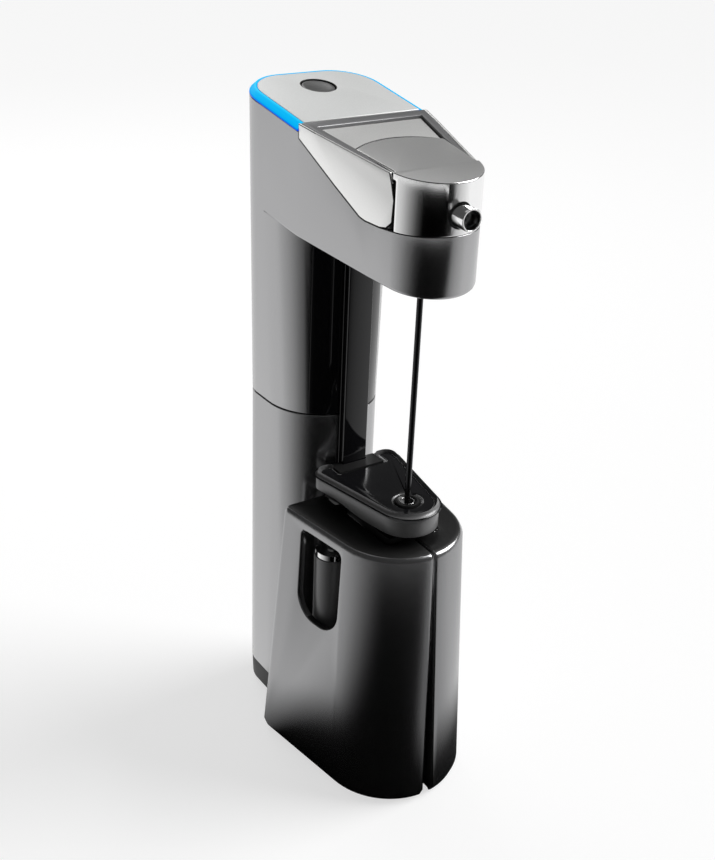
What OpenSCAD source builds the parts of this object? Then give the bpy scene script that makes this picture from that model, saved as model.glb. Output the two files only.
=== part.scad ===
// Wine preservation dispenser: an upright handle that holds a gas capsule, a slanted
// pouring head with a hollow needle, and a bottle clamp that slides on a rail.
// Millimetres, +Z up, front towards -Y. The origin is on the floor, at the centre of
// the handle's round front.

/* [Handle] */
// Half width of the handle at its foot
handle_r = 19.5; // [19:0.1:20.5]
// How far each side of the handle leans out by the top
flare = 3.5; // [2.5:0.1:4]
// Distance from the origin to the handle's back
back_y = 19; // [18:0.1:20]
// Corner radius at the back of the lower handle
low_corner_r = 10.5; // [9:0.1:12]
// Corner radius at the back of the top
top_corner_r = 15; // [12:0.1:16]
// Wall of the handle and head
wall = 2; // [1.6:0.1:2.4]
// Height of the seam between gas cup and handle
seam_z = 122; // [118:0.5:126]
// Height of the black foot
foot_h = 10.5; // [8:0.5:12]
// Height of the top panel above the origin
panel_z = 222.9; // [221:0.1:226]
// Slope of the top panel, degrees
panel_tilt = 8.8; // [7:0.1:10]

/* [Head] */
// Distance from the origin to the needle
needle_y = 54; // [52:0.5:56]
// Radius of the head's round front
nose_r = 15; // [14:0.1:15.5]
// Depth of the head's underside below the panel, both taken above the origin
head_depth = 35; // [33:0.1:37]
// Slope of the head's underside, degrees
under_tilt = 7.6; // [6:0.1:9]
// Depth of the seam under the bright cap below the panel
cap_depth = 25.6; // [23.9:0.1:27.9]
// Slope of the cap's top, degrees
cap_tilt = 6.8; // [5:0.1:8]
// Outer radius of the spout
spout_r = 3.35; // [3:0.05:3.6]
// Bore radius of the spout
spout_bore_r = 2.8; // [2:0.05:2.9]
// Depth of the spout below the panel
spout_drop = 19.9; // [18.9:0.1:20.9]
// How far the spout stands out of the cap
spout_out = 5; // [3:0.1:7]
// Outer radius of the needle
needle_r = 0.95; // [0.7:0.05:1]
// Bore radius of the needle
needle_bore_r = 0.45; // [0.3:0.05:0.5]

/* [Light and button] */
// Width of the light ring seen from above
ring_w = 2.4; // [2:0.1:3]
// Height of the light ring
ring_h = 2.3; // [2:0.1:3]
// Width and height of the bevel around the light ring
ring_bevel = 1.7; // [1.2:0.1:1.9]
// Radius of the button
button_r = 5.2; // [4.5:0.1:5.6]
// Distance from the origin to the button
button_y = 4.9; // [3:0.1:6]
// Travel of the button
button_travel = 0.8; // [0.5:0.1:1]

/* [Clamp] */
// Height of the clamp's jaws above the floor
jaw_top = 94.5; // [93:0.1:95]
// Wall of the jaws
jaw_wall = 2.4; // [2:0.1:2.6]
// Gap between the closed jaws at their top
jaw_gap = 1; // [1:0.05:1.3]
// Gap between the closed jaws at their foot
jaw_foot_gap = 3.8; // [3:0.1:4.5]
// Height of the clamp plate's top above the jaws
plate_lift = 11; // [10:0.1:12]
// Outer radius of the needle guide
guide_r = 3.9; // [3.5:0.1:4.2]
// Radial clearance of the needle in its guide
guide_clear = 0.35; // [0.25:0.05:0.5]
// Width of the guide rail
rail_w = 9; // [8:0.1:9.4]
// Running clearance of the shoe on the rail
rail_clear = 0.3; // [0.2:0.05:0.4]
// Distance from the middle to each jaw's pivot
pivot_x = 6; // [5.8:0.1:6.4]
// Depth of the jaw pivots below the jaws' top
pivot_drop = 3.5; // [3.3:0.1:3.8]
// Radius of the jaw pins
pin_r = 1.2; // [1:0.05:1.3]
// Running clearance of the jaws on their pins
pin_clear = 0.05; // [0.03:0.01:0.08]
// Radius of the upright rollers behind the windows
roller_r = 6.1; // [5.5:0.1:6.2]

/* [Gas and power] */
// Radius of the gas capsule
capsule_r = 9.3; // [8.8:0.1:9.6]
// Length of the gas capsule's straight body
capsule_h = 68; // [60:0.5:72]
// Radius of the gas capsule's neck
capsule_neck_r = 3.6; // [3:0.1:4]
// Radius of the gas regulator
regulator_r = 13.8; // [12:0.1:14.4]
// Radius of a battery cell
cell_r = 5.25; // [4.8:0.05:5.4]
// Length of a battery cell
cell_h = 44.5; // [40:0.5:46]

/* [Hidden] */
$fn = 96;

big = 400;
fit = 0.05;                             // clearance of pieces that seat in one another
seam_gap = 0.5;                         // visible groove at the handle seam
top_half = handle_r + flare;            // half width of the top
top_back_y = back_y - 0.5;
under_z = panel_z - head_depth;
cap_seam_z = panel_z - cap_depth;
spout_z = panel_z - spout_drop;
flare_top_z = panel_z + 2.1;            // height where the flare is full
head_low_z = under_z - 18;              // the head's walls are drawn from here up
shoulder_y = -21;                       // where the parallel sides end and the head begins
nose_y = -(needle_y + 1);               // centre of the head's round front
nose_front = nose_y - nose_r;
wing_t = 0.8;                           // thickness of the bright side plates
wing_front = -58.6;                     // front end of the side plates
cap_plane_z = panel_z - 7;              // height of the cap's top at cap_plane_y
cap_plane_y = -40;
trim_tilt = 10.7;                       // slope of the frame's top, degrees
trim_z = panel_z - (-shoulder_y - 0.7) * tan(panel_tilt);
arc_r = 27.6;                           // arched back edge of the cap
arc_y = -35.5 - arc_r;
deck_drop = 0.7;                        // the deck lies this far below the frame
cover_half = 13;                        // half width of the black front cover
cup_clear = 0.5;                        // gap between the rail and the gas cup
rail_back = -(handle_r + cup_clear);
rail_front = rail_back - 3.5;
rail_low_z = 12;
rail_top_z = under_z + 12;              // cut off along the head's underside
groove_d = 1.1;                         // depth and place of the rail's side grooves
groove_y = rail_back - 2.1;
groove_w = 1.3;
shoe_half = 8.5;
keel_half = 9.4;
keel_front = -58.5;
keel_back = -34;
plate_z = jaw_top + plate_lift;
pivot_z = jaw_top - pivot_drop;
keel_low = jaw_top - 10.5;
neck_low = jaw_top + 1.8;               // the plate's neck starts here, clear of the jaws
ear_t = 3.5;                            // thickness of the jaws' ears
ear_gap = 0.5;
ear_r = 2.6;
foot_clear = 0.3;                       // the jaws hang this far above the floor
roller_x = 15.9;
roller_y = -36.5;
roller_low = 22;
roller_top = jaw_top - 13;
window_low = jaw_top - 36;
window_high = jaw_top - 4;
window_w = 19.6;
jaw_lean = 8;                           // angle of the jaws' flanks, the same at every height
neck_space_r = 14.8;                    // radius left free for a bottle's neck
cup_floor = 2.5;
capsule_low = foot_h + cup_floor;
collar_low = seam_z - 7;
collar_h = 14;
regulator_low = seam_z - 1;
tray_z = panel_z - 72.9;
regulator_top = tray_z;                 // the battery tray stands on the regulator
neck_reach = regulator_low + 2.9 - capsule_low - capsule_r;
valve_z = under_z + 4.1;                // height of the gas line and its valve
hub_r = 4;
hub_low = under_z - (needle_y + hub_r) * tan(under_tilt) - 0.4;
hub_top = hub_low + 11;
seal_r = 3.95;
stem_half = 2.5;                        // the rail's stem, held in the front cover
stem_low = collar_low + collar_h + fit;
housing_h = 9;
button_drop = 2.2;                      // the button's collar hangs this far under the panel

steel = "silver";
dark = [0.09, 0.09, 0.1];
gunmetal = [0.36, 0.36, 0.37];
satin = [0.8, 0.8, 0.8];
mid_grey = [0.55, 0.55, 0.56];

// ---------- outlines and half spaces ----------

function arc(cx, cy, r, a0, a1, n) =
    [for (i = [0:n]) let (a = a0 + (a1 - a0) * i / n) [cx + r * cos(a), cy + r * sin(a)]];

// The handle's two back corners, shared by every outline
function back_corners(half, corner, back, inset) = concat(
    arc(half - corner, back - corner, corner - inset, 0, 90, 10),
    arc(corner - half, back - corner, corner - inset, 90, 180, 10));

// Round-fronted outline of the handle
function handle_points(half, corner, back, inset = 0) = concat(
    back_corners(half, corner, back, inset),
    arc(0, half - handle_r, half - inset, 180, 360, 36));

// Outline of the head and handle together, straight from the shoulders to the nose
function head_points(half, inset = 0) = concat(
    back_corners(half, top_corner_r, top_back_y, inset),
    [[inset - half, shoulder_y]],
    arc(0, nose_y, nose_r - inset, 192.7, 347.3, 28),
    [[half - inset, shoulder_y]]);

// Everything under a plane that slopes down towards the front, through (y, z)
module below(y, z, slope) {
    translate([0, y, z]) rotate([slope, 0, 0]) translate([-big / 2, -big / 2, -big])
        cube(big);
}

// Everything over the same plane
module above(y, z, slope) {
    translate([0, y, z]) rotate([slope, 0, 0]) translate([-big / 2, -big / 2, 0])
        cube(big);
}

// A side view, drawn as (y, z), carried right across the part
module across(points) {
    rotate([90, 0, 90]) translate([0, 0, -50]) linear_extrude(100) polygon(points);
}

module tube(r_out, r_in, h) {
    difference() {
        cylinder(r = r_out, h = h);
        translate([0, 0, -1]) cylinder(r = r_in, h = h + 2);
    }
}

// A coil spring on the Z axis, swept as one closed tube of six sides
module coil(r, wire, h, turns) {
    sides = 6;
    steps = 12 * turns;
    ring = [for (i = [0:steps]) for (k = [0:sides - 1])
        let (a = 360 * turns * i / steps, t = 360 * k / sides, q = r + wire * cos(t))
        [q * cos(a), q * sin(a), wire + (h - 2 * wire) * i / steps + wire * sin(t)]];
    skin = [for (i = [0:steps - 1]) for (k = [0:sides - 1])
        let (a = i * sides + k, b = i * sides + (k + 1) % sides)
        each [[a, a + sides, b + sides], [a, b + sides, b]]];
    last = steps * sides;
    ends = [for (k = [1:sides - 2]) each [[0, k, k + 1], [last, last + k + 1, last + k]]];
    polyhedron(ring, concat(skin, ends));
}

// Solid form of the flared upper handle
module handle_form(inset = 0) {
    hull() {
        translate([0, 0, seam_z + seam_gap / 2]) linear_extrude(0.01)
            polygon(handle_points(handle_r, low_corner_r, back_y, inset));
        translate([0, 0, flare_top_z]) linear_extrude(0.01)
            polygon(handle_points(top_half, top_corner_r, top_back_y, inset));
    }
}

// Solid form of the head, over its sloping underside
module head_form(inset = 0) {
    lean = flare * (flare_top_z - head_low_z) / (flare_top_z - seam_z);
    intersection() {
        hull() {
            translate([0, 0, head_low_z]) linear_extrude(0.01)
                polygon(head_points(top_half - lean, inset));
            translate([0, 0, flare_top_z + 5]) linear_extrude(0.01)
                polygon(head_points(top_half, inset));
        }
        above(0, under_z + inset, under_tilt);
    }
}

// Side view of what lies over the body: the light ring, panel, bright plates and cap
module upper_zone(gap = 0) {
    ring_z = panel_z - ring_h - gap;
    across([[30, ring_z + 30 * tan(panel_tilt)],
        [shoulder_y + gap, ring_z + shoulder_y * tan(panel_tilt)],
        [shoulder_y + gap, cap_seam_z + 18.1],
        [-46.1 + gap, cap_seam_z + 1.1 - gap], [-48.3, cap_seam_z + 0.4 - gap],
        [-53.7, cap_seam_z - 0.1 - gap], [nose_front - 9, cap_seam_z - 0.1 - gap],
        [nose_front - 9, panel_z + 20], [30, panel_z + 20]]);
}

// The front of the upper zone, where the bright plates and the cap are
module bright_zone() {
    intersection() {
        upper_zone();
        translate([-50, -100, head_low_z]) cube([100, 100 + shoulder_y, 100]);
    }
}

// ---------- handle and head ----------

module handle_shell() {
    color(gunmetal) difference() {
        union() {
            handle_form();
            head_form();
        }
        handle_form(wall);
        head_form(wall);
        upper_zone(fit);
        intersection() {
            translate([-cover_half - fit, -40, seam_z]) cube([2 * (cover_half + fit), 32, 100]);
            below(0, under_z, under_tilt);
        }
        translate([0, -needle_y, head_low_z]) cylinder(r = hub_r + fit, h = 20);
    }
}

// Glossy black front of the handle, with the slot that the rail is held in
module front_cover() {
    color(dark) difference() {
        intersection() {
            difference() {
                handle_form();
                handle_form(wall);
            }
            translate([-cover_half, -40, seam_z])
                cube([2 * cover_half, 32, 100]);
            below(0, under_z - fit, under_tilt);
        }
        for (s = [-1, 1]) translate([s * 7.8 - 0.7, -30, seam_z + 18])
            cube([1.4, 12.2, 60]);
        translate([-stem_half, -30, stem_low]) cube([2 * stem_half, 40, 100]);
    }
}

module guide_rail() {
    color(dark) difference() {
        union() {
            translate([-rail_w / 2, rail_front, rail_low_z])
                cube([rail_w, rail_back - rail_front, rail_top_z - rail_low_z]);
            translate([-stem_half, rail_back, stem_low])
                cube([2 * stem_half, 4, rail_top_z - stem_low]);
        }
        above(0, under_z - fit, under_tilt);
        for (s = [-1, 1]) translate([s * rail_w / 2 - groove_d, groove_y, 0])
            cube([2 * groove_d, groove_w, rail_top_z]);
    }
}

// A thin slice of the head's outline, parallel to the panel and so far below its plane
module ring_slice(drop, inset) {
    intersection() {
        translate([0, 0, panel_z - 23]) linear_extrude(40) polygon(head_points(top_half, inset));
        below(0, panel_z - drop, panel_tilt);
        above(0, panel_z - drop - 0.02, panel_tilt);
    }
}

// Light ring around the panel, with a wide bevel that faces out and up
module light_ring() {
    color([0.05, 0.5, 1]) intersection() {
        hull() {
            ring_slice(ring_h - 0.02, 0);
            ring_slice(ring_bevel, 0);
            ring_slice(0, ring_bevel);
        }
        translate([0, 0, panel_z - 23]) linear_extrude(40) difference() {
            polygon(head_points(top_half));
            polygon(head_points(top_half, ring_w));
        }
        translate([-50, shoulder_y + fit, panel_z - 73]) cube(100);
    }
}

module top_panel() {
    color(satin) difference() {
        intersection() {
            translate([0, 0, panel_z - 23]) linear_extrude(40)
                polygon(head_points(top_half, ring_w + fit));
            below(0, panel_z, panel_tilt);
            above(0, panel_z - ring_h, panel_tilt);
            translate([-50, shoulder_y + 0.7 + fit, panel_z - 73]) cube(100);
        }
        on_panel() translate([0, 0, -6]) cylinder(r = button_r + 0.4, h = 12);
    }
}

// Places children on the top panel, over the button's centre, square to the panel
module on_panel() {
    translate([0, button_y, panel_z + button_y * tan(panel_tilt)]) rotate([panel_tilt, 0, 0])
        children();
}

// Outline of the opening between the rails, from above
function opening_points(inset = 0) = [
    [18.4 - inset, -24.5 - inset], [15.4 - inset, -40.2], [14.1 - inset, wing_front + 2],
    [14.1 - inset, wing_front - 6], [inset - 14.1, wing_front - 6],
    [inset - 14.1, wing_front + 2], [inset - 15.4, -40.2], [inset - 18.4, -24.5 - inset]];

// Grey frame: a bar in front of the panel and a rail down each side
module trim_frame() {
    color(mid_grey) difference() {
        intersection() {
            head_form(wing_t + fit);
            bright_zone();
            below(shoulder_y, trim_z, trim_tilt);
            translate([-50, wing_front + 2, head_low_z]) cube([100, 100, 100]);
        }
        translate([0, 0, head_low_z]) linear_extrude(80) polygon(opening_points(1.4));
        intersection() {
            translate([0, 0, head_low_z]) linear_extrude(80) polygon(opening_points());
            above(shoulder_y, trim_z - deck_drop - 2, trim_tilt);
        }
    }
}

// Bright side plate: the outer skin of the head between the shoulder and the cap
module wing(side) {
    intersection() {
        difference() {
            head_form();
            head_form(wing_t);
        }
        across([[shoulder_y, trim_z], [shoulder_y, cap_seam_z + 18.1],
            [-46.1, cap_seam_z + 1.1], [-48.3, cap_seam_z + 0.4], [-53.7, cap_seam_z - 0.1],
            [-56.2, cap_seam_z + 0.3], [-58.2, cap_seam_z + 2.2],
            [wing_front, cap_seam_z + 8.6], [wing_front + 1.1, cap_seam_z + 13.2],
            [wing_front + 2, trim_z - 36 * tan(trim_tilt) + 0.4]]);
        translate([side > 0 ? 0 : -100, -100, head_low_z]) cube([100, 100, 100]);
    }
}

module wing_left() {
    color(satin) wing(-1);
}

module wing_right() {
    color(satin) wing(1);
}

// Light deck in the recess behind the cap's arched edge
module press_deck() {
    color(mid_grey) difference() {
        intersection() {
            translate([0, 0, head_low_z]) linear_extrude(80) polygon(opening_points(0.4));
            below(shoulder_y, trim_z - deck_drop, trim_tilt);
            above(shoulder_y, trim_z - deck_drop - 2, trim_tilt);
        }
        translate([0, arc_y, head_low_z]) cylinder(r = arc_r + 0.3, h = 100);
    }
}

// Outline of the cap from above, inside the head's own outline
module cap_plan(inset = 0, rear = wing_front + 0.9) {
    intersection() {
        translate([0, arc_y]) circle(r = arc_r - inset);
        polygon(opening_points(0.15 + inset));
        polygon(head_points(top_half, inset));
    }
    intersection() {
        polygon(head_points(top_half, inset));
        translate([-30, nose_front - 5]) square([60, rear - inset - nose_front + 5]);
    }
}

module spout_cap() {
    color(steel) difference() {
        intersection() {
            translate([0, 0, head_low_z]) linear_extrude(80) cap_plan();
            bright_zone();
            below(cap_plane_y, cap_plane_z, cap_tilt);
            union() {
                above(cap_plane_y, cap_plane_z - 2.1, cap_tilt);
                translate([-50, wing_front - 120.2, head_low_z]) cube([100, 120, 100]);
            }
        }
        intersection() {
            translate([0, 0, head_low_z]) linear_extrude(80) cap_plan(1.5, wing_front - 0.2);
            below(cap_plane_y, cap_plane_z - 1.2, cap_tilt);
        }
        translate([0, nose_front + 8, spout_z]) rotate([90, 0, 0]) cylinder(r = seal_r, h = 20);
    }
}

module spout_seal() {
    color("black") translate([0, nose_front + 2.6, spout_z]) rotate([90, 0, 0])
        tube(seal_r - fit, spout_r + fit, 2);
}

module spout_tube() {
    color(steel) translate([0, nose_front + 6, spout_z]) rotate([90, 0, 0])
        tube(spout_r, spout_bore_r, 6 + spout_out);
}

// Metal channel that leads the wine up from the needle and forward into the spout
module wine_channel() {
    lift = spout_z - hub_top;
    color(satin) difference() {
        union() {
            translate([0, -needle_y, hub_top]) cylinder(r = 5, h = lift + 5);
            translate([0, -needle_y, spout_z]) rotate([90, 0, 0])
                cylinder(r = 4.2, h = -needle_y - nose_front - 6);
        }
        translate([0, -needle_y, hub_top - 1]) cylinder(r = 1.2, h = lift + 1);
        translate([0, -needle_y, spout_z]) rotate([90, 0, 0]) cylinder(r = 2, h = 20);
    }
}

module needle_hub() {
    color(dark) translate([0, -needle_y, hub_low]) tube(hub_r, needle_r + fit, hub_top - hub_low);
}

module needle() {
    color(steel) translate([0, -needle_y, plate_z - 6.5])
        tube(needle_r, needle_bore_r, hub_top - plate_z + 6.5);
}

// Valve block on the head's floor
module gas_valve() {
    color(satin) difference() {
        intersection() {
            translate([-8, -42, valve_z - 42]) cube([16, 20, 48]);
            above(0, under_z + wall, under_tilt);
        }
        translate([0, -48, valve_z]) rotate([-90, 0, 0]) cylinder(r = 1.5, h = 30);
    }
}

// Thin gas line from the regulator up to the valve
module gas_tube() {
    color([0.85, 0.85, 0.85]) {
        translate([0, -9.5, regulator_top]) cylinder(r = 1.4, h = valve_z - regulator_top);
        translate([0, -9.5, valve_z]) sphere(r = 1.4, $fn = 48);
        translate([0, -22, valve_z]) rotate([-90, 0, 0]) cylinder(r = 1.4, h = 12.5);
    }
}

// ---------- button and power ----------

module button_housing() {
    color(dark) on_panel() translate([0, 0, -ring_h - housing_h]) tube(8, 6.6, housing_h);
}

// Dished button with a collar that holds it under the panel
module power_button() {
    color([0.5, 0.5, 0.5]) difference() {
        on_panel() {
            translate([0, 0, -ring_h - button_drop]) cylinder(r = button_r, h = ring_h + 1.9);
            translate([0, 0, -ring_h - button_drop]) cylinder(r = button_r + 1.1, h = 1.8);
        }
        on_panel() translate([0, 0, 26.3]) sphere(r = 27, $fn = 96);
    }
}

module button_spring() {
    color(steel) on_panel() translate([0, 0, -ring_h - housing_h + 0.1])
        coil(4, 0.3, housing_h - button_drop - button_travel - 0.2, 4);
}

module button_switch() {
    color("black") on_panel() translate([-2, -2, -ring_h - housing_h])
        cube([4, 4, housing_h - button_drop - button_travel - 0.5]);
}

module circuit_board() {
    color("darkgreen") on_panel() translate([-12, -13, -ring_h - housing_h - 1.6])
        cube([24, 22, 1.6]);
}

module battery_tray() {
    color(dark) difference() {
        translate([-16.4, -3.6, tray_z]) cube([32.8, 12.2, cell_h + 5]);
        for (s = [-1, 0, 1]) translate([s * 10.8, 2.5, tray_z + 2]) {
            cylinder(r = cell_r + 0.1, h = cell_h + 10);
            translate([-3, 0, 2]) cube([6, 20, cell_h - 6]);
        }
    }
}

module battery_cells() {
    for (s = [-1, 0, 1]) translate([s * 10.8, 2.5, tray_z + 2]) {
        color("goldenrod") cylinder(r = cell_r, h = cell_h - 1);
        color(steel) translate([0, 0, cell_h - 1]) cylinder(r = 1.8, h = 1);
    }
}

// ---------- gas ----------

module gas_regulator() {
    color("goldenrod") difference() {
        translate([0, 0, regulator_low]) cylinder(r = regulator_r, h = regulator_top - regulator_low);
        translate([0, 0, regulator_low - 1]) cylinder(r = capsule_neck_r + 2.4, h = 6);
        translate([0, 0, regulator_low]) cylinder(r = 1.1, h = 14);
        translate([0, 0, regulator_low + 13]) cylinder(r = 6, h = 10);
    }
}

module piercing_pin() {
    color(steel) translate([0, 0, regulator_low + 3.2]) {
        cylinder(r1 = 0.2, r2 = 1, h = 1.6);
        translate([0, 0, 1.6]) cylinder(r = 1, h = 7);
    }
}

module capsule_seal() {
    color("black") translate([0, 0, regulator_low + 3]) tube(capsule_neck_r + 2.3, 1.6, 2);
}

// Small pressed-steel capsule, round below, with a narrow neck above
module gas_capsule() {
    color(steel) {
        translate([0, 0, capsule_low + capsule_r]) sphere(r = capsule_r);
        translate([0, 0, capsule_low + capsule_r]) rotate_extrude() polygon([
            [0, 0], [capsule_r, 0], [capsule_r, capsule_h], [capsule_r - 1.6, capsule_h + 3.4],
            [capsule_neck_r, capsule_h + 7], [capsule_neck_r, neck_reach], [0, neck_reach]]);
    }
}

// ---------- gas cup and foot ----------

module cup_collar() {
    color(satin) difference() {
        translate([0, 0, collar_low]) linear_extrude(collar_h)
            polygon(handle_points(handle_r, low_corner_r, back_y, wall + fit));
        translate([0, 0, collar_low - 1]) cylinder(r = regulator_r + fit, h = collar_h + 2);
    }
}

module gas_cup() {
    color(gunmetal) difference() {
        translate([0, 0, foot_h]) linear_extrude(seam_z - seam_gap / 2 - foot_h)
            polygon(handle_points(handle_r, low_corner_r, back_y));
        translate([0, 0, foot_h + cup_floor]) linear_extrude(seam_z)
            polygon(handle_points(handle_r, low_corner_r, back_y, wall));
    }
}

module base_foot() {
    color(dark) hull() {
        translate([0, 0, 1]) linear_extrude(0.01)
            polygon(handle_points(handle_r, low_corner_r, back_y, 1.4));
        translate([0, 0, 2.4]) linear_extrude(0.01)
            polygon(handle_points(handle_r, low_corner_r, back_y, 0.4));
        translate([0, 0, foot_h - 0.01]) linear_extrude(0.01)
            polygon(handle_points(handle_r, low_corner_r, back_y, 0.1));
    }
}

module foot_pad() {
    color("black") linear_extrude(1) polygon(handle_points(handle_r, low_corner_r, back_y, 2.6));
}

// ---------- clamp carriage ----------

// Outline of the clamp plate: round in front, wide behind
function plate_points(inset = 0) = concat(
    arc(11.6, -25.6, 4 - inset, -10.6, 90, 8), arc(-11.6, -25.6, 4 - inset, 90, 190.6, 8),
    arc(0, -needle_y, 10.2 - inset, 190.6, 349.4, 24));

// Side view of the plate: thin behind, deeper in front
module plate_zone() {
    across([[-90, plate_z - 7.4], [-50, plate_z - 7.7], [-45, plate_z - 7.4],
        [-41, plate_z - 6.8], [-37, plate_z - 6], [-33, plate_z - 5.6], [0, plate_z - 5.8],
        [0, plate_z + 10], [-90, plate_z + 10]]);
}

// Room for the rail and its shoe
module shoe_room() {
    translate([-shoe_half - fit, rail_front - 4.5 - fit, 0])
        cube([2 * (shoe_half + fit), 40, 200]);
}

module clamp_plate() {
    color(dark) difference() {
        intersection() {
            union() {
                translate([0, 0, plate_z - 10]) linear_extrude(9.2) polygon(plate_points());
                translate([0, 0, plate_z - 1]) linear_extrude(1) polygon(plate_points(0.7));
            }
            plate_zone();
        }
        translate([0, -needle_y, 50]) cylinder(r = guide_r + fit, h = 100);
        shoe_room();
    }
}

// Black neck between the plate and the hinge block
module plate_neck() {
    color("black") difference() {
        translate([0, 0, neck_low]) linear_extrude(plate_z - neck_low) polygon(plate_points(3.4));
        plate_zone();
        translate([0, -needle_y, 50]) cylinder(r = guide_r + fit, h = 100);
        shoe_room();
    }
}

// Outline of the hinge block: square behind, rounded in front
function keel_points(side = 0, ends = 0) =
    let (r = 2, x = keel_half + side - r, y = keel_front - ends + r) concat(
        arc(x, y, r, -90, 0, 6), [[x + r, keel_back + ends], [-x - r, keel_back + ends]],
        arc(-x, y, r, 180, 270, 6));

// Block under the neck that carries the jaws' pins and springs
module hinge_block() {
    color(dark) difference() {
        translate([0, 0, keel_low]) linear_extrude(neck_low - keel_low) polygon(keel_points());
        translate([0, -needle_y, 50]) cylinder(r = guide_r + fit, h = 100);
        for (s = [-1, 1]) {
            translate([s * pivot_x, 0, pivot_z]) rotate([90, 0, 0]) cylinder(r = pin_r, h = 90);
            translate([s * pivot_x - 2.8, -48.5, keel_low - 1])
                cube([5.6, 8, pivot_z + 2.6 - keel_low + 1]);
        }
    }
}

// Shoe that slides on the rail, with a lip in each of the rail's grooves
module slider_shoe() {
    color(dark) difference() {
        translate([-shoe_half, rail_front - 4.5, plate_z - 45.5]) cube([2 * shoe_half, 6.3, 45.5]);
        difference() {
            translate([-rail_w / 2 - rail_clear, rail_front - rail_clear, 0])
                cube([rail_w + 2 * rail_clear, 40, 200]);
            for (s = [-1, 1]) translate([s * (rail_w / 2 + 0.4) - 1, groove_y + 0.3, 0])
                cube([2, groove_w - 0.6, 200]);
        }
    }
}

module needle_guide() {
    color(steel) translate([0, -needle_y, neck_low]) difference() {
        cylinder(r = guide_r, h = plate_z - neck_low + 0.2);
        translate([0, 0, -1]) cylinder(r = needle_r + guide_clear, h = 30);
        translate([0, 0, plate_z - neck_low - 1.6])
            cylinder(r1 = needle_r + guide_clear, r2 = guide_r - 0.6, h = 1.9);
    }
}

// Soft ring that the bottle's mouth stops against
module bottle_stop() {
    color("black") translate([0, -needle_y, keel_low - 2.4]) difference() {
        cylinder(r = 4.4 + 4, h = 2.4);
        translate([0, 0, -1]) cylinder(r = 3, h = 5);
        translate([-20, needle_y + keel_back, -1]) cube([40, 20, 5]);
        translate([-20, needle_y + keel_front - 20, -1]) cube([40, 20, 5]);
    }
}

module hinge_pins() {
    color(steel) for (s = [-1, 1])
        translate([s * pivot_x, keel_back + ear_gap + ear_t, pivot_z]) rotate([90, 0, 0])
            cylinder(r = pin_r, h = keel_back - keel_front + 2 * (ear_gap + ear_t));
}

// Closing spring around a jaw's pin
module jaw_spring(side) {
    color(steel) translate([side * pivot_x, -41, pivot_z]) rotate([90, 0, 0])
        coil(2, 0.28, 7, 6);
}

module jaw_spring_left() {
    jaw_spring(-1);
}

module jaw_spring_right() {
    jaw_spring(1);
}

// ---------- jaws ----------

// Outline of both jaws together, from the top (f = 0) to the foot (f = 1)
function jaw_points(f, inset = 0) =
    let (x = 22.6 + 3.4 * f, y = -23 + 6 * f, r = 3.1 + 0.9 * f, front_y = -48.2 - 2.8 * f,
        front_r = r + x * cos(jaw_lean) + (front_y - y) * sin(jaw_lean)) concat(
        arc(x, y, r - inset, -jaw_lean, 90, 6), arc(-x, y, r - inset, 90, 180 + jaw_lean, 6),
        arc(0, front_y, front_r - inset, 180 + jaw_lean, 360 - jaw_lean, 36));

module jaw_slice(z, inset) {
    translate([0, 0, z]) linear_extrude(0.01) polygon(jaw_points(1 - z / jaw_top, inset));
}

// Both jaws together as one form with rounded upper and lower edges
module jaw_form() {
    hull() {
        jaw_slice(foot_clear, 3);
        jaw_slice(foot_clear + 1, 1.3);
        jaw_slice(foot_clear + 4, 0);
        jaw_slice(jaw_top - 2.2, 0);
        jaw_slice(jaw_top - 0.7, 0.7);
        jaw_slice(jaw_top - 0.01, 2.2);
    }
}

module jaw_hollow() {
    hull() {
        jaw_slice(-5, jaw_wall);
        jaw_slice(jaw_top - jaw_wall, jaw_wall);
    }
}

// Finger window as seen from the side: flat above, round below
module window() {
    half = window_w / 2;
    low_r = 8.4;
    high_r = 2.2;
    translate([-60, -40.7, 0]) rotate([90, 0, 90]) linear_extrude(50) polygon(concat(
        arc(low_r - half, window_low + low_r, low_r, 180, 270, 12),
        arc(half - low_r, window_low + low_r, low_r, 270, 360, 12),
        arc(half - high_r, window_high - high_r, high_r, 0, 90, 6),
        arc(high_r - half, window_high - high_r, high_r, 90, 180, 6)));
}

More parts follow.
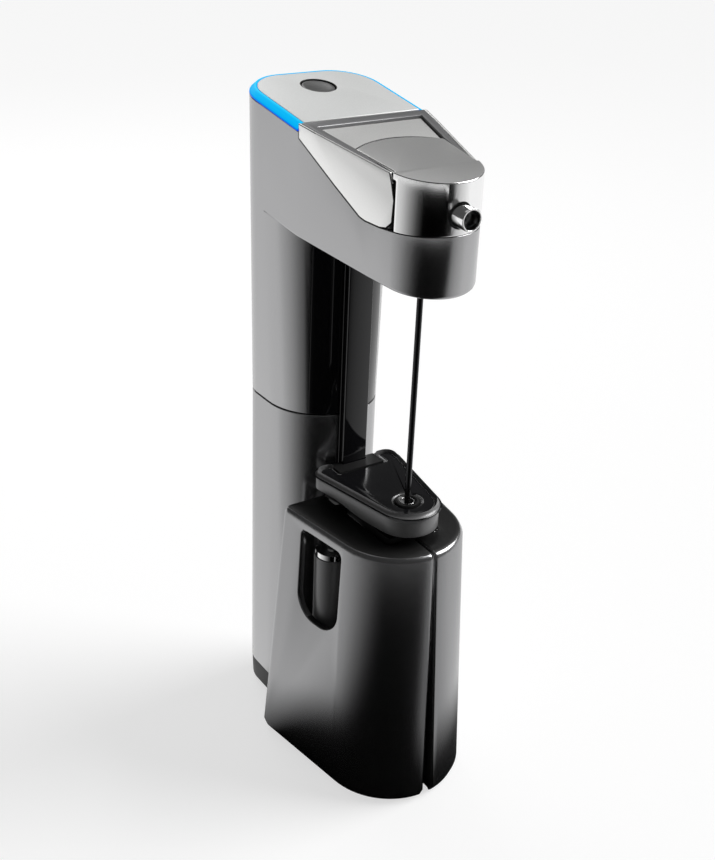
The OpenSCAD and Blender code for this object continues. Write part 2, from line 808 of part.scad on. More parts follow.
// Left jaw; the right one is its mirror image
module jaw() {
    difference() {
        union() {
            difference() {
                jaw_form();
                jaw_hollow();
                window();
            }
            // shelf and clip for the neck roller
            intersection() {
                jaw_form();
                union() {
                    translate([-50, roller_y - 4, roller_low - 2]) cube([38.5, 8, 2]);
                    translate([-50, roller_y - 4, 50]) cube([50 - roller_x, 8, 2]);
                }
            }
            // rib along the slit, outside the space left for a bottle's neck
            difference() {
                intersection() {
                    jaw_form();
                    translate([-3.9, -90, foot_clear + 1]) cube([3.9, 30, 60]);
                }
                translate([0, -needle_y, -5]) cylinder(r = neck_space_r + 0.2, h = 100);
            }
            for (y = [keel_back + ear_gap + ear_t, keel_front - ear_gap])
                translate([-pivot_x, y, pivot_z]) rotate([90, 0, 0]) cylinder(r = ear_r, h = ear_t);
        }
        translate([-roller_x, roller_y, roller_low]) cylinder(r = roller_r + fit, h = roller_top - roller_low);
        translate([-pivot_x, keel_back + ear_gap + ear_t + 1, pivot_z]) rotate([90, 0, 0])
            cylinder(r = pin_r + pin_clear, h = keel_back - keel_front + 2 * (ear_gap + ear_t + 1));
        // room above for the hinge block, the shoe and the rail
        translate([0, 0, keel_low - 20]) linear_extrude(60) polygon(keel_points(0.8, ear_gap));
        translate([-shoe_half - 2, rail_front - 5.5, 0]) cube([60, 40, jaw_top + 20]);
        // room behind for the handle
        translate([-handle_r - 1.5, -24.5, -5]) cube([60, 40, jaw_top - jaw_wall + 5]);
        // everything right of the slit, which widens towards the foot
        rotate([90, 0, 0]) translate([0, 0, -100]) linear_extrude(200) polygon([
            [-jaw_gap / 2, jaw_top + 10], [-jaw_gap / 2, jaw_top - 8],
            [-jaw_foot_gap / 2, 0], [-jaw_foot_gap / 2, -10], [60, -10], [60, jaw_top + 10]]);
    }
}

module jaw_left() {
    color(dark) jaw();
}

module jaw_right() {
    color(dark) mirror([1, 0, 0]) jaw();
}

// Soft upright roller beside the bottle's neck, seen through the window
module roller() {
    translate([-roller_x, roller_y, roller_low]) cylinder(r = roller_r, h = roller_top - roller_low);
}

module roller_left() {
    color(dark) roller();
}

module roller_right() {
    color(dark) mirror([1, 0, 0]) roller();
}

module roller_cap() {
    translate([-roller_x, roller_y, roller_top]) {
        cylinder(r = roller_r - 0.3, h = 2);
        cylinder(r = 2, h = 2.4);
    }
}

module roller_cap_left() {
    color(steel) roller_cap();
}

module roller_cap_right() {
    color(steel) mirror([1, 0, 0]) roller_cap();
}

// Rubber pad behind the jaw's front wall, hollowed to the bottle's neck
module grip() {
    difference() {
        intersection() {
            hull() {
                jaw_slice(28, jaw_wall + fit);
                jaw_slice(56, jaw_wall + fit);
            }
            translate([-40, -90, 0]) cube([36, 38, 100]);
        }
        translate([0, -needle_y, 0]) cylinder(r = neck_space_r, h = 100);
        translate([0, -needle_y, 52]) cylinder(r1 = neck_space_r, r2 = neck_space_r + 5, h = 5);
    }
}

module grip_left() {
    color("black") grip();
}

module grip_right() {
    color("black") mirror([1, 0, 0]) grip();
}

handle_shell();
front_cover();
guide_rail();
light_ring();
top_panel();
trim_frame();
wing_left();
wing_right();
press_deck();
spout_cap();
spout_seal();
spout_tube();
wine_channel();
needle();
needle_hub();
gas_valve();
gas_tube();
button_housing();
power_button();
button_spring();
button_switch();
circuit_board();
battery_tray();
battery_cells();
gas_regulator();
piercing_pin();
capsule_seal();
gas_capsule();
cup_collar();
gas_cup();
base_foot();
foot_pad();
clamp_plate();
plate_neck();
hinge_block();
slider_shoe();
needle_guide();
bottle_stop();
hinge_pins();
jaw_spring_left();
jaw_spring_right();
jaw_left();
roller_left();
roller_cap_left();
grip_left();
jaw_right();
roller_right();
roller_cap_right();
grip_right();
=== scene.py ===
# %% [markdown]
# This lesson dresses a wine preservation dispenser: an upright handle with a slanted head, a
# needle, and a bottle clamp under it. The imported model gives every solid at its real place, so
# a new piece is put exactly where its solid is and only has to look better than it.

# %% Load the frame
import math

import bmesh
import bpy
from mathutils import Matrix, Vector


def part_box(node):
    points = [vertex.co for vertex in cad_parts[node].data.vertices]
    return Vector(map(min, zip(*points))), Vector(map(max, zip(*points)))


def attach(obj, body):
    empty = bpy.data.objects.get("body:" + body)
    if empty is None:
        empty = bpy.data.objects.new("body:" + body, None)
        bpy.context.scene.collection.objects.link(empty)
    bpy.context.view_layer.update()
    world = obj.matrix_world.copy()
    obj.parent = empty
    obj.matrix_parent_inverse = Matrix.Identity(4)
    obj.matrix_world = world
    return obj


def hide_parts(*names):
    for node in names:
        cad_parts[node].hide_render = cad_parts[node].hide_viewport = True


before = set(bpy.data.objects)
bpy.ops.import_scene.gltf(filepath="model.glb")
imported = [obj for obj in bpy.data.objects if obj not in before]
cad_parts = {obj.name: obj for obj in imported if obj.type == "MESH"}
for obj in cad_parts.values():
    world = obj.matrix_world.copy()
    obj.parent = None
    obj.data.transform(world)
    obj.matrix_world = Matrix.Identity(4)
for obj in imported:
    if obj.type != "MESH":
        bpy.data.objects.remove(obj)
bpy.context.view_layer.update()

MM = 0.001
print("nodes in the frame:", len(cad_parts))

# %% [markdown]
# The photograph looks down on the object from its front left. A camera could be aimed with a
# tracking constraint, but the view was solved as three angles and a place, so the camera's axes
# are built from those angles and nothing has to be nudged by eye. First the view is laid level,
# and then its right and up turn together by the roll.

# %% Camera axes
VIEW_AZIMUTH = math.radians(-34.376)
VIEW_ELEVATION = math.radians(26.654)
VIEW_ROLL = math.radians(2.46)

back = Vector((math.sin(VIEW_AZIMUTH) * math.cos(VIEW_ELEVATION),
               -math.cos(VIEW_AZIMUTH) * math.cos(VIEW_ELEVATION),
               math.sin(VIEW_ELEVATION)))
level_right = (-back).cross(Vector((0, 0, 1))).normalized()
level_up = level_right.cross(-back)
right = math.cos(VIEW_ROLL) * level_right + math.sin(VIEW_ROLL) * level_up
up = -math.sin(VIEW_ROLL) * level_right + math.cos(VIEW_ROLL) * level_up
print("from the object to the camera:", [round(value, 3) for value in back])

# %% [markdown]
# The focal length was solved in the photograph's pixels. Blender wants millimetres on a sensor,
# so the sensor's height stands for the photograph's height and the length scales with it.

# %% Camera
PHOTO_HEIGHT = 860
FOCAL_PX = 1270.0
SENSOR_HEIGHT = 36.0
CAMERA_PLACE = Vector((-0.210861, -0.332741, 0.304986))

bpy.ops.object.camera_add()
camera = bpy.context.object
camera.data.sensor_fit = "VERTICAL"
camera.data.sensor_height = SENSOR_HEIGHT
camera.data.lens = FOCAL_PX * SENSOR_HEIGHT / PHOTO_HEIGHT
camera.data.clip_start = 10 * MM
turn = Matrix((right, up, back)).transposed().to_4x4()
camera.matrix_world = Matrix.Translation(CAMERA_PLACE) @ turn
bpy.context.scene.camera = camera
print("lens in millimetres:", round(camera.data.lens, 2))


# %% [markdown]
# Materials are small networks of nodes, and a few steps come back in several of them: a fresh
# Principled shader, a noise in Object coordinates, and a change of range. Object coordinates
# keep a grain a fraction of a millimetre wide on every piece, and no piece has to be unwrapped.

# %% Node helpers
def blank(name):
    """A new material, with its nodes, its links and its shader."""
    mat = bpy.data.materials.new(name)
    mat.use_nodes = True
    tree = mat.node_tree
    return mat, tree.nodes, tree.links, tree.nodes["Principled BSDF"]


def noise(nodes, links, coords, scale, detail):
    """A noise texture that reads Object coordinates, in cycles per metre."""
    tex = nodes.new("ShaderNodeTexNoise")
    tex.inputs["Scale"].default_value = scale
    tex.inputs["Detail"].default_value = detail
    links.new(coords.outputs["Object"], tex.inputs["Vector"])
    return tex.outputs["Fac"]


def remap(nodes, links, source, low, high, from_low=0.0, from_high=1.0):
    """Spreads the range from_low to from_high over low to high."""
    node = nodes.new("ShaderNodeMapRange")
    node.inputs["From Min"].default_value = from_low
    node.inputs["From Max"].default_value = from_high
    node.inputs["To Min"].default_value = low
    node.inputs["To Max"].default_value = high
    links.new(source, node.inputs["Value"])
    return node.outputs["Result"]


print("materials before the first finish:", len(bpy.data.materials))


# %% [markdown]
# Every finish here starts from one Principled shader. What makes satin paint, blasted metal and
# moulded plastic look different is small: a fine grain in the bump, a slight drift in colour,
# gloss that is a little uneven over a few centimetres, and how mirror-like the surface is.

# %% Finish helper
FINE_DETAIL = 3.0
SLOW_SCALE, SLOW_DETAIL = 35.0, 1.0
GLOSS_LOW, GLOSS_HIGH = 0.93, 1.07
BUMP_STRENGTH = 0.5


def finish(name, colour, metallic, roughness, grain, depth, drift):
    """A finish with a fine grain, a drift of colour along the grain, and uneven gloss."""
    mat, nodes, links, shader = blank(name)
    shader.inputs["Metallic"].default_value = metallic
    coords = nodes.new("ShaderNodeTexCoord")
    fine = noise(nodes, links, coords, grain, FINE_DETAIL)
    slow = noise(nodes, links, coords, SLOW_SCALE, SLOW_DETAIL)
    mix = nodes.new("ShaderNodeMix")
    mix.data_type = "RGBA"
    mix.inputs["A"].default_value = [c * (1 - drift) for c in colour] + [1]
    mix.inputs["B"].default_value = [min(1.0, c * (1 + drift)) for c in colour] + [1]
    links.new(fine, mix.inputs["Factor"])
    links.new(mix.outputs["Result"], shader.inputs["Base Color"])
    gloss = remap(nodes, links, slow, roughness * GLOSS_LOW, roughness * GLOSS_HIGH)
    links.new(gloss, shader.inputs["Roughness"])
    bump = nodes.new("ShaderNodeBump")
    bump.inputs["Strength"].default_value = BUMP_STRENGTH
    bump.inputs["Distance"].default_value = depth * MM
    links.new(fine, bump.inputs["Height"])
    links.new(bump.outputs["Normal"], shader.inputs["Normal"])
    return mat


print("gloss varies from", GLOSS_LOW, "to", GLOSS_HIGH, "of each roughness")

# %% [markdown]
# The handle and the clamp are satin metallic paint, so most of what they show is a blurred
# reflection. The side plates and the top panel are blasted metal, and the cap's front and the
# spout are polished. The colours are linear, as Blender wants them. Each line gives the name,
# the colour, how metallic and how rough it is, the grain in cycles per metre, the grain's depth
# in millimetres, and how far the colour drifts.

# %% Paints and metals
GUNMETAL = finish("gunmetal_paint", (0.41, 0.41, 0.415), 0.96, 0.20, 2200, 0.004, 0.04)
SATIN_SILVER = finish("satin_silver", (0.96, 0.96, 0.95), 0.90, 0.34, 2600, 0.005, 0.03)
PANEL_SILVER = finish("panel_silver", (0.86, 0.87, 0.86), 0.35, 0.48, 3000, 0.012, 0.09)
FRAME_GREY = finish("frame_grey", (0.26, 0.26, 0.265), 0.5, 0.36, 2600, 0.008, 0.06)
DECK_GREY = finish("deck_grey", (0.68, 0.68, 0.67), 0.45, 0.46, 2800, 0.016, 0.12)
CAP_SATIN = finish("cap_satin", (0.62, 0.62, 0.615), 0.6, 0.36, 3000, 0.008, 0.08)
CHROME = finish("brushed_chrome", (0.92, 0.92, 0.92), 1.0, 0.15, 1200, 0.001, 0.02)
BRIGHT_CHROME = finish("bright_chrome", (0.80, 0.80, 0.80), 1.0, 0.08, 1200, 0.0005, 0.02)
NEEDLE_STEEL = finish("needle_steel", (0.035, 0.035, 0.037), 0.8, 0.22, 1600, 0.002, 0.08)
CLAMP_SATIN = finish("clamp_satin", (0.32, 0.32, 0.325), 0.97, 0.26, 2600, 0.008, 0.07)
RIM_SATIN = finish("rim_satin", (0.20, 0.20, 0.202), 0.30, 0.34, 2600, 0.006, 0.07)
BUTTON_GREY = finish("button_grey", (0.26, 0.26, 0.26), 0.8, 0.34, 2400, 0.004, 0.06)
print("materials so far:", len(bpy.data.materials))

# %% [markdown]
# Four blacks and a rubber look alike as colours. Their roughness tells them apart: the cover and
# the rail mirror the room, the plate's top is a little softer, the clamp's top is satin, and the
# foot and the rubber hardly shine. The clamp's black top is painted shade: the shade that falls on
# the jaws under the plate and the head.

# %% Blacks and rubber
GLOSS_BLACK = finish("gloss_black", (0.006, 0.006, 0.007), 0.0, 0.07, 900, 0.0005, 0.10)
PLATE_BLACK = finish("plate_black", (0.008, 0.008, 0.009), 0.0, 0.12, 2200, 0.001, 0.15)
# Painted shade: this black on the jaws' tops stands for the shade under the plate and the head.
JAW_TOP_SHADE = finish("clamp_black", (0.006, 0.006, 0.006), 0.0, 0.42, 2600, 0.008, 0.20)
MATTE_BLACK = finish("matte_black", (0.005, 0.005, 0.005), 0.0, 0.50, 1800, 0.012, 0.15)
RUBBER = finish("black_rubber", (0.013, 0.013, 0.013), 0.0, 0.62, 1500, 0.020, 0.20)
print("materials so far:", len(bpy.data.materials))

# %% [markdown]
# The pieces inside are seen only when the object is opened, yet each has the material that such
# a piece is made of: steel, brass, a clear hose, a circuit board and wrapped cells.

# %% Finishes of the inner pieces
INNER_STEEL = finish("inner_steel", (0.50, 0.50, 0.51), 1.0, 0.28, 1500, 0.004, 0.05)
BRASS = finish("brass", (0.60, 0.42, 0.16), 1.0, 0.30, 1500, 0.004, 0.06)
CLEAR_TUBE = finish("clear_tube", (0.70, 0.70, 0.70), 0.0, 0.30, 900, 0.004, 0.04)
BOARD_GREEN = finish("board_green", (0.02, 0.13, 0.05), 0.0, 0.35, 1800, 0.010, 0.15)
CELL_WRAP = finish("cell_wrap", (0.55, 0.36, 0.07), 0.4, 0.30, 1400, 0.004, 0.08)
print("materials so far:", len(bpy.data.materials))

# %% [markdown]
# The light ring is a frosted guide that is lit from inside. It is brightest where its upper
# bevel faces up, and a deeper blue on its outer side, so its glow follows the surface normal
# through a colour ramp instead of being one flat blue.

# %% Light ring finish
SIDE_BLUE, TOP_BLUE = (0.0, 0.06, 0.80, 1), (0.0, 0.60, 1.0, 1)
SIDE_NORMAL, TOP_NORMAL = 0.10, 0.85
GLOW = 0.95


def glowing_blue():
    """A glow that turns from SIDE_BLUE to TOP_BLUE as the surface turns to face up."""
    mat, nodes, links, shader = blank("lit_blue")
    shader.inputs["Roughness"].default_value = 0.4
    shader.inputs["Base Color"].default_value = (0.0, 0.01, 0.04, 1)
    shader.inputs["Specular IOR Level"].default_value = 0.1
    shader.inputs["Emission Strength"].default_value = GLOW
    geometry = nodes.new("ShaderNodeNewGeometry")
    split = nodes.new("ShaderNodeSeparateXYZ")
    links.new(geometry.outputs["Normal"], split.inputs["Vector"])
    ramp = nodes.new("ShaderNodeValToRGB")
    ends = ramp.color_ramp.elements
    ends[0].position, ends[1].position = SIDE_NORMAL, TOP_NORMAL
    ends[0].color, ends[1].color = SIDE_BLUE, TOP_BLUE
    links.new(split.outputs["Z"], ramp.inputs["Fac"])
    links.new(ramp.outputs["Color"], shader.inputs["Emission Color"])
    return mat


LIT_BLUE = glowing_blue()
print("glowing finish:", LIT_BLUE.name)


# %% [markdown]
# Blender's operators act on whatever is selected, so every piece is selected alone before it is
# worked on. A modifier is added and applied in one step, which leaves a plain mesh behind.

# %% Select and modify
def activate(obj):
    """Selects this object alone and makes it the active one."""
    if bpy.context.object and bpy.context.object.mode != "OBJECT":
        bpy.ops.object.mode_set(mode="OBJECT")
    bpy.ops.object.select_all(action="DESELECT")
    obj.select_set(True)
    bpy.context.view_layer.objects.active = obj


def modify(obj, kind, **settings):
    """Adds one modifier and applies it."""
    activate(obj)
    mod = obj.modifiers.new(kind, kind)
    for key, value in settings.items():
        setattr(mod, key, value)
    bpy.ops.object.modifier_apply(modifier=mod.name)


activate(camera)
print("selected alone:", [obj.name for obj in bpy.context.selected_objects])

# %% [markdown]
# A solid from the frame comes as loose triangles. A copy of it is merged into one skin, its flat
# faces are made whole again, and edges shorter than a tenth of a millimetre are closed, because
# a bevel would fold over itself there.

# %% Copy a solid
SAME_POINT = 0.002 * MM
SHORT_EDGE = 0.1 * MM
FLAT_ANGLE = math.radians(0.5)


def copy_solid(node, name):
    """A merged copy of a node's mesh, with its coplanar triangles joined into whole faces."""
    obj = bpy.data.objects.new(name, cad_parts[node].data.copy())
    bpy.context.scene.collection.objects.link(obj)
    activate(obj)
    bpy.ops.object.mode_set(mode="EDIT")
    bpy.ops.mesh.select_all(action="SELECT")
    bpy.ops.mesh.remove_doubles(threshold=SAME_POINT)
    bpy.ops.mesh.dissolve_limited(angle_limit=FLAT_ANGLE)
    bpy.ops.mesh.remove_doubles(threshold=SHORT_EDGE)
    bpy.ops.object.mode_set(mode="OBJECT")
    return obj


print("edges closed below", SHORT_EDGE / MM, "mm")

# %% [markdown]
# The copy's edges are razor sharp, and real edges are not: they catch a thin line of light. Only
# the sharp edges are bevelled, and a weight on each one says how round it gets. A plain bevel by
# angle would give every edge the same width.

# %% Soften the edges
SHARP_ANGLE = math.radians(28)
SMOOTH_ANGLE = math.radians(32)


def soften(obj, width, weigh, segments=3):
    """Bevels the sharp edges, each by width times the weight that weigh(midpoint) gives it."""
    mesh = bmesh.new()
    mesh.from_mesh(obj.data)
    layer = mesh.edges.layers.float.new("bevel_weight_edge")
    for edge in mesh.edges:
        if len(edge.link_faces) == 2 and edge.calc_face_angle(0) > SHARP_ANGLE:
            edge[layer] = weigh((edge.verts[0].co + edge.verts[1].co) / 2)
    mesh.to_mesh(obj.data)
    mesh.free()
    modify(obj, "BEVEL", width=width * MM, segments=segments, limit_method="WEIGHT",
           use_clamp_overlap=False, miter_outer="MITER_ARC")
    bpy.ops.object.shade_smooth_by_angle(angle=SMOOTH_ANGLE)


def evenly(point):
    """The weight for a piece whose edges are all alike."""
    return 1.0


print("edges bevelled above", round(math.degrees(SHARP_ANGLE)), "degrees")


# %% [markdown]
# A finished piece gets its main material, the body that it moves with, and the solids that it
# stands for, which are then hidden.

# %% Dress a piece
def dress(obj, material, slot, body, *nodes):
    """Gives a finished piece its material and ties it to its body and the nodes it stands for."""
    obj.data.materials.clear()
    obj.data.materials.append(material)
    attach(obj, body)
    if nodes:
        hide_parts(*nodes)
    print(obj.name, "faces:", len(obj.data.polygons))


# %% [markdown]
# The handle and head are one shell. Its lower edge under the head is well rounded, while the
# edges where other pieces meet it stay tight, so that the seams read as thin dark lines. The
# round edge is found by the slanted plane that it lies on. The hole for the needle's hub lies on
# that plane too, so edges close to the middle are left out.

# %% Handle and cup
UNDER_Z = 0.1879
UNDER_SLOPE = math.tan(math.radians(7.6))
UNDER_NEAR = 0.25 * MM
HANDLE_FRONT_Y = -0.0222
HUB_HALF_X, HUB_FRONT_Y = 0.008, -0.06
TIGHT_EDGE = 0.14


def under_edge(point):
    """1 on the head's lower edge, less on every other sharp edge."""
    on_plane = abs(point.z - (UNDER_Z + point.y * UNDER_SLOPE)) < UNDER_NEAR
    past_hub = abs(point.x) > HUB_HALF_X or point.y < HUB_FRONT_Y
    return 1.0 if on_plane and past_hub and point.y < HANDLE_FRONT_Y else TIGHT_EDGE


handle_body = copy_solid("handle_shell", "handle_body")
soften(handle_body, 1.3, under_edge)
dress(handle_body, GUNMETAL, "gunmetal", "root", "handle_shell")

cup_body = copy_solid("gas_cup", "cup_body")
soften(cup_body, 0.25, evenly)
dress(cup_body, GUNMETAL, "gunmetal", "root", "gas_cup")


# %% [markdown]
# Some pieces change finish partway: a rim and a top, or a seam where black is painted for the
# shade in the gap. The mesh keeps its shape, and the faces that differ point to a second material.
# They are found by their normal, or by being the narrow faces that the bevel made.

# %% A second finish
SEAM_FACE = 4 * MM * MM


def repaint(obj, material, test):
    """A second finish on the faces that pass the test."""
    obj.data.materials.append(material)
    for face in obj.data.polygons:
        if test(face):
            face.material_index = len(obj.data.materials) - 1


def face_up(obj, material, least):
    """A second finish on the faces whose normal leans up at least this much."""
    repaint(obj, material, lambda face: face.normal.z > least)


def paint_seam_shade(obj, material, test):
    """Painted shade: black on the narrow bevel faces that pass the test, for the shadow inside the
    seam.
    """
    repaint(obj, material, lambda face: face.area < SEAM_FACE and test(face))


print("a seam's faces are under", round(SEAM_FACE / MM ** 2, 1), "mm2")

# %% [markdown]
# In the photograph the seams around the side plates, the deck, the cap, the button and the light
# ring are thin black lines, the shade inside each gap. The pieces meet with hardly a gap, so that
# shade is painted: the narrow bevel faces that look into a seam are made black. Each piece says by
# a face's direction or place which of them these are. The spout's hole keeps its sharp edge,
# because its rubber seal fills it.

# %% Seams of the head
HOLE_MARGIN = 0.4 * MM
SPOUT_LOW, SPOUT_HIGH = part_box("spout_tube")
SPOUT_Z = (SPOUT_LOW[2] + SPOUT_HIGH[2]) / 2
SPOUT_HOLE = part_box("spout_seal")[1][0] + HOLE_MARGIN
BUTTON_Y = 0.0049
BUTTON_HOLE = 0.0064
SEAM_SHADE_TESTS = {
    "wing_left": lambda face: face.normal.z < 0.25,
    "wing_right": lambda face: face.normal.z < 0.25,
    "press_deck": lambda face: face.normal.y < 0.3,
    "spout_cap": lambda face: face.normal.z < -0.3,
    "light_ring": lambda face: face.normal.z < -0.3,
    "top_panel": lambda face: math.hypot(face.center.x, face.center.y - BUTTON_Y) < BUTTON_HOLE,
}


def around_spout(point):
    """0 on the edge of the hole that the spout comes out of, and 1 on every other edge."""
    return 0.0 if math.hypot(point.x, point.z - SPOUT_Z) < SPOUT_HOLE else 1.0


print("spout's middle above the floor:", round(SPOUT_Z / MM, 1), "mm")

# %% [markdown]
# The trim of the handle and head: the side plates, the frame with its two rails, the deck
# between them, the panel, the light ring, the cap and spout, the black cover, the rail and the
# foot. One loop dresses them all. The last number is each bevel's width in millimetres.

# %% Trim
UPWARD = 0.9

for node, name, material, slot, width in (
        ("wing_left", "side_plate_left", SATIN_SILVER, "satin_silver", 0.3),
        ("wing_right", "side_plate_right", SATIN_SILVER, "satin_silver", 0.3),
        ("trim_frame", "rail_frame", FRAME_GREY, "mid_grey", 0.3),
        ("press_deck", "deck", DECK_GREY, "deck_grey", 0.4),
        ("top_panel", "panel", PANEL_SILVER, "satin_silver", 0.2),
        ("light_ring", "lit_ring", LIT_BLUE, "blue_light", 0.3),
        ("spout_cap", "cap", CHROME, "chrome", 0.35),
        ("spout_tube", "spout", CHROME, "chrome", 0.15),
        ("front_cover", "black_front", GLOSS_BLACK, "gloss_black", 0.2),
        ("guide_rail", "rail", GLOSS_BLACK, "gloss_black", 0.3),
        ("base_foot", "foot", MATTE_BLACK, "black_plastic", 0.3)):
    piece = copy_solid(node, name)
    soften(piece, width, around_spout if node == "spout_cap" else evenly)
    dress(piece, material, slot, "root", node)
    if node == "spout_cap":
        face_up(piece, CAP_SATIN, UPWARD)
    # Painted shade: the bevel faces that look into a seam are made black, for the shadow in the gap.
    if node in SEAM_SHADE_TESTS:
        paint_seam_shade(piece, MATTE_BLACK, SEAM_SHADE_TESTS[node])

# %% [markdown]
# The button is a dished disc that is pressed into the panel, so it rides on its own body.

# %% Button
button = copy_solid("power_button", "button_disc")
soften(button, 0.2, evenly)
dress(button, BUTTON_GREY, "button_grey", "button", "power_button")

# %% [markdown]
# The clamp's plate slides on the rail. Its upper edge is well rounded and satin, and its top is
# gloss black. Only the faces that lie quite level get the black, so the rim keeps its satin.

# %% Clamp plate
PLATE_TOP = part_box("clamp_plate")[1][2]
PLATE_EDGE = PLATE_TOP - 1.5 * MM
PLATE_LOWER_EDGE = 0.2
LEVEL = 0.97

plate = copy_solid("clamp_plate", "clamp_top")
soften(plate, 1.6, lambda point: 1.0 if point.z > PLATE_EDGE else PLATE_LOWER_EDGE, segments=4)
dress(plate, RIM_SATIN, "clamp_black", "carriage", "clamp_plate")
face_up(plate, PLATE_BLACK, LEVEL)

# %% [markdown]
# The two jaws hold the bottle's neck. Their sides are satin metallic paint, and their tops are
# painted black for the shade that falls on them under the plate and the head. Each rides on its
# own body, because they swing apart.

# %% Jaws
for side in ("left", "right"):
    jaw = copy_solid("jaw_" + side, "clamp_jaw_" + side)
    soften(jaw, 0.5, evenly)
    dress(jaw, CLAMP_SATIN, "clamp_black", "jaw_" + side, "jaw_" + side)
    # Painted shade: the faces that look up are made black for the shade under the plate and the head.
    face_up(jaw, JAW_TOP_SHADE, UPWARD)

# %% [markdown]
# Two thin bright rings in the plate's top mark the hole that the needle passes through. They are
# far too thin to be solids of their own, so they are made here. Each starts as a torus at the
# hole, half sunk in the plate, and is pressed flatter in edit mode, as an inlaid ring is.

# %% Guide rings
NEEDLE_LOW, NEEDLE_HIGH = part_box("needle")
HOLE = (0, (NEEDLE_LOW[1] + NEEDLE_HIGH[1]) / 2, PLATE_TOP)
RING_FLATNESS = 0.6


def guide_ring(name, radius, thickness):
    """A flattened ring around the needle's hole. The radii are in millimetres."""
    bpy.ops.mesh.primitive_torus_add(location=HOLE, major_segments=96, minor_segments=12,
                                     major_radius=radius * MM, minor_radius=thickness * MM)
    ring = bpy.context.object
    ring.name = name
    activate(ring)
    bpy.ops.object.mode_set(mode="EDIT")
    bpy.ops.mesh.select_all(action="SELECT")
    bpy.ops.transform.resize(value=(1, 1, RING_FLATNESS), center_override=HOLE)
    bpy.ops.object.mode_set(mode="OBJECT")
    bpy.ops.object.transform_apply(location=True, rotation=True, scale=True)
    bpy.ops.object.shade_smooth()
    dress(ring, BRIGHT_CHROME, "chrome", "carriage")


guide_ring("guide_ring_outer", 3.75, 0.13)
guide_ring("guide_ring_inner", 2.2, 0.10)

# %% [markdown]
# The other solids have the right shape already. They keep their own meshes, which are never
# changed, and only get a finish. Most of them lie inside and show when the object is opened.

# %% Solids that stay
STAY = {
    RUBBER: ("spout_seal", "capsule_seal", "foot_pad", "bottle_stop", "grip_left", "grip_right"),
    INNER_STEEL: ("wine_channel", "gas_valve", "button_spring", "piercing_pin", "gas_capsule",
                  "cup_collar", "hinge_pins", "jaw_spring_left", "jaw_spring_right"),
    NEEDLE_STEEL: ("needle",),
    BRASS: ("gas_regulator",),
    MATTE_BLACK: ("needle_hub", "button_housing", "button_switch", "battery_tray", "plate_neck",
                  "hinge_block", "slider_shoe", "needle_guide"),
    RIM_SATIN: ("roller_left", "roller_right"),
    BRIGHT_CHROME: ("roller_cap_left", "roller_cap_right"),
    CLEAR_TUBE: ("gas_tube",),
    BOARD_GREEN: ("circuit_board",),
    CELL_WRAP: ("battery_cells",),
}
for material, names in STAY.items():
    for name in names:
        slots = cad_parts[name].data.materials
        slots.clear()
        slots.append(material)
print("nodes that stay:", sum(map(len, STAY.values())))

# %% [markdown]
# The floor is a plain pale sheet. It shines by itself for the camera and for reflections, and
# only part of its brightness comes from the lamps, so it stays even but keeps the shadow. A
# brighter lamp would whiten it too, but it would wash out the object as well.

# %% Floor
FLOOR_SIZE = 60
FLOOR_GREY = 0.42
FLOOR_GLOW = 0.645
WHITE = (1, 1, 1, 1)


def math_step(nodes, links, operation, first, second):
    """One math node. The second value is another node's output or a plain number."""
    node = nodes.new("ShaderNodeMath")
    node.operation = operation
    links.new(first, node.inputs[0])
    if isinstance(second, float):
        node.inputs[1].default_value = second
    else:
        links.new(second, node.inputs[1])
    return node.outputs[0]


def seen_rays(nodes, links):
    """1 for camera, glossy and transmission rays, and 0 for the light that falls on things."""
    path = nodes.new("ShaderNodeLightPath")
    total = path.outputs["Is Camera Ray"]
    for kind in ("Is Glossy Ray", "Is Transmission Ray"):
        total = math_step(nodes, links, "MAXIMUM", total, path.outputs[kind])
    return total


bpy.ops.mesh.primitive_plane_add(size=FLOOR_SIZE)
floor = bpy.context.object
floor.name = "studio_floor"
floor_mat, nodes, links, shader = blank("studio_white")
shader.inputs["Base Color"].default_value = (FLOOR_GREY, FLOOR_GREY, FLOOR_GREY, 1)
shader.inputs["Roughness"].default_value = 0.9
shader.inputs["Specular IOR Level"].default_value = 0.0
shader.inputs["Emission Color"].default_value = WHITE
glow = math_step(nodes, links, "MULTIPLY", seen_rays(nodes, links), FLOOR_GLOW)
links.new(glow, shader.inputs["Emission Strength"])
floor.data.materials.append(floor_mat)
print("floor's own glow:", FLOOR_GLOW)

# %% [markdown]
# Satin and polished metal only look like metal when they have something dark to mirror. A thin
# card on the floor is seen by reflections alone, as a photographer's black card would be. It is
# a plane that the camera, the lamps and the shadows pass through.

# %% Reflected card
CARD_SIZE = 6
CARD_LIFT = 0.2 * MM
BLACK = (0, 0, 0, 1)

bpy.ops.mesh.primitive_plane_add(size=CARD_SIZE, location=(0, 0, CARD_LIFT))
card = bpy.context.object
card.name = "reflected_card"
bpy.ops.object.transform_apply(location=True, rotation=True, scale=True)
card.visible_camera = False
card.visible_diffuse = False
card.visible_shadow = False
card_mat, nodes, links, shader = blank("card_tones")
shader.inputs["Base Color"].default_value = BLACK
shader.inputs["Specular IOR Level"].default_value = 0
card.data.materials.append(card_mat)
print("card's size:", CARD_SIZE, "m")

# %% [markdown]
# The card is pale to the sides and behind, and fades to black in front, so a round surface shows
# one soft dark band. Its tone depends on the direction from a point near the clamp: the angle
# between FRONT and that direction goes through a colour ramp. The tones are pairs of an angle in
# degrees, positive towards SIDE, and a grey.

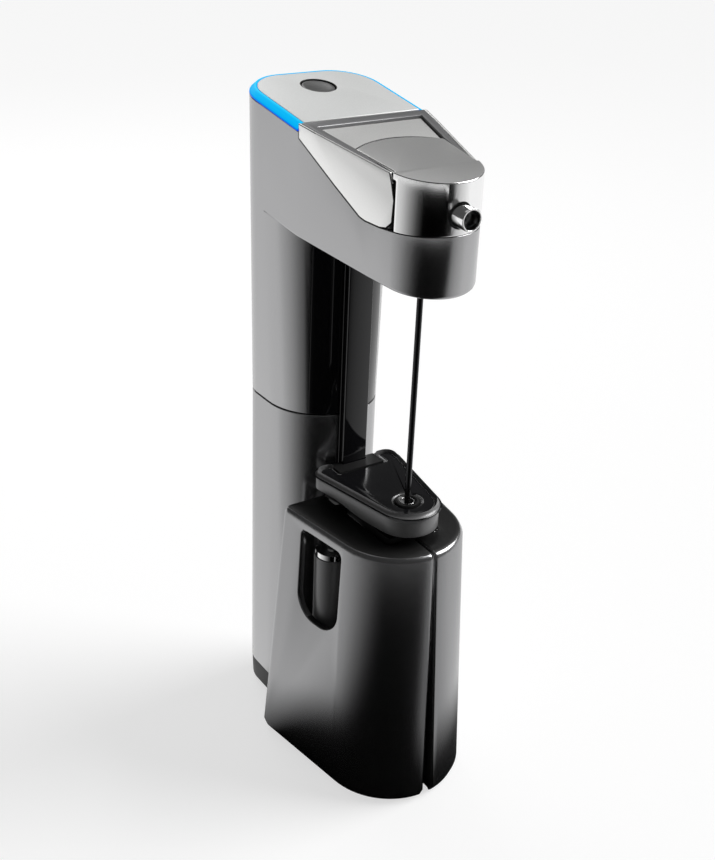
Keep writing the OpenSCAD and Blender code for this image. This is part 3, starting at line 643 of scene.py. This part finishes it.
# %% Card tones
SIDE, FRONT = Vector((0.856, -0.517, 0)), Vector((-0.517, -0.856, 0))
PIVOT = Vector((-0.020, -0.024, 0))
CARD_TONES = ((-89, 0.95), (-78, 0.74), (-63, 0.58), (-48, 0.34), (-36, 0.18), (-24, 0.05),
              (-12, 0.0), (46, 0.0), (55, 0.42), (64, 0.60), (80, 0.80), (89, 0.95))


def vector_step(operation, source, other=None):
    """One vector node between a source and a constant."""
    node = nodes.new("ShaderNodeVectorMath")
    node.operation = operation
    links.new(source, node.inputs[0])
    if other:
        node.inputs[1].default_value = other
    return node.outputs["Value"] if operation in ("DOT_PRODUCT", "LENGTH") else node.outputs["Vector"]


place = nodes.new("ShaderNodeTexCoord").outputs["Object"]
from_pivot = vector_step("SUBTRACT", place, PIVOT)
sideways = vector_step("DOT_PRODUCT", from_pivot, SIDE)
forwards = vector_step("DOT_PRODUCT", from_pivot, FRONT)
angle = math_step(nodes, links, "ARCTAN2", sideways, forwards)
ramp = nodes.new("ShaderNodeValToRGB")
turned = remap(nodes, links, angle, 0.0, 1.0, math.radians(-90), math.radians(90))
links.new(turned, ramp.inputs["Fac"])
stops = ramp.color_ramp.elements
while len(stops) < len(CARD_TONES):
    stops.new(1.0)
for stop, (degrees, grey) in zip(stops, CARD_TONES):
    stop.position = (degrees + 90) / 180
    stop.color = (grey, grey, grey, 1)
links.new(ramp.outputs["Color"], shader.inputs["Emission Color"])
print("card's tones:", len(stops))

# %% [markdown]
# Around the clamp's foot the card is dark on every side, as a contact shadow would be. Its
# strength grows from nothing to full between two distances from the middle of the foot.

# %% Dark foot of the card
FOOT_MIDDLE = Vector((0, -0.045, 0))
FOOT_DARK, FOOT_LIGHT = 0.038, 0.064

reach = vector_step("LENGTH", vector_step("SUBTRACT", place, FOOT_MIDDLE))
strength = remap(nodes, links, reach, 0.0, 1.0, FOOT_DARK, FOOT_LIGHT)
links.new(strength, shader.inputs["Emission Strength"])
print("card is dark within", FOOT_DARK / MM, "mm of the foot's middle")

# %% [markdown]
# The light is that of a product table. A lamp behind is what the head's top mirrors, and a
# broader, dimmer one hangs above. The key light is a sun with a wide angle, so it is as soft as
# a large window: it comes from the right and makes the shadow on the left.

# %% Lights
MIDDLE = Vector((0, -0.02, 0.11))
KEY_TURN = (math.radians(52), 0, math.radians(70))
KEY_WIDTH = math.radians(40)
KEY_STRENGTH = 3.0


def soft_lamp(name, place, size, power):
    """A square lamp at a place, turned to look at the object's middle."""
    bpy.ops.object.light_add(type="AREA", location=place)
    lamp = bpy.context.object
    lamp.name = name
    lamp.data.shape = "RECTANGLE"
    lamp.data.size = lamp.data.size_y = size
    lamp.data.energy = power
    lamp.rotation_euler = (MIDDLE - Vector(place)).to_track_quat("-Z", "Y").to_euler()
    print(name, "watts:", power)


soft_lamp("back_lamp", (0.12, 0.68, 0.62), 0.45, 1.0)
soft_lamp("top_lamp", (0.10, 0.35, 1.10), 1.0, 1.4)
bpy.ops.object.light_add(type="SUN", rotation=KEY_TURN)
key = bpy.context.object
key.name = "key_lamp"
key.data.angle = KEY_WIDTH
key.data.energy = KEY_STRENGTH

# %% [markdown]
# The world is white where the camera looks past the floor, and dim for everything else, because
# the lamps already light the object. The Standard view transform leaves the colours as written.

# %% World
WORLD_DIM, WORLD_SEEN = 0.07, 0.95

world = bpy.context.scene.world or bpy.data.worlds.new("studio")
bpy.context.scene.world = world
world.use_nodes = True
nodes, links = world.node_tree.nodes, world.node_tree.links
nodes["Background"].inputs["Color"].default_value = WHITE
camera_ray = nodes.new("ShaderNodeLightPath").outputs["Is Camera Ray"]
strength = remap(nodes, links, camera_ray, WORLD_DIM, WORLD_SEEN)
links.new(strength, nodes["Background"].inputs["Strength"])
bpy.context.scene.view_settings.view_transform = "Standard"
print("world's strength:", WORLD_DIM, "and", WORLD_SEEN, "for the camera")
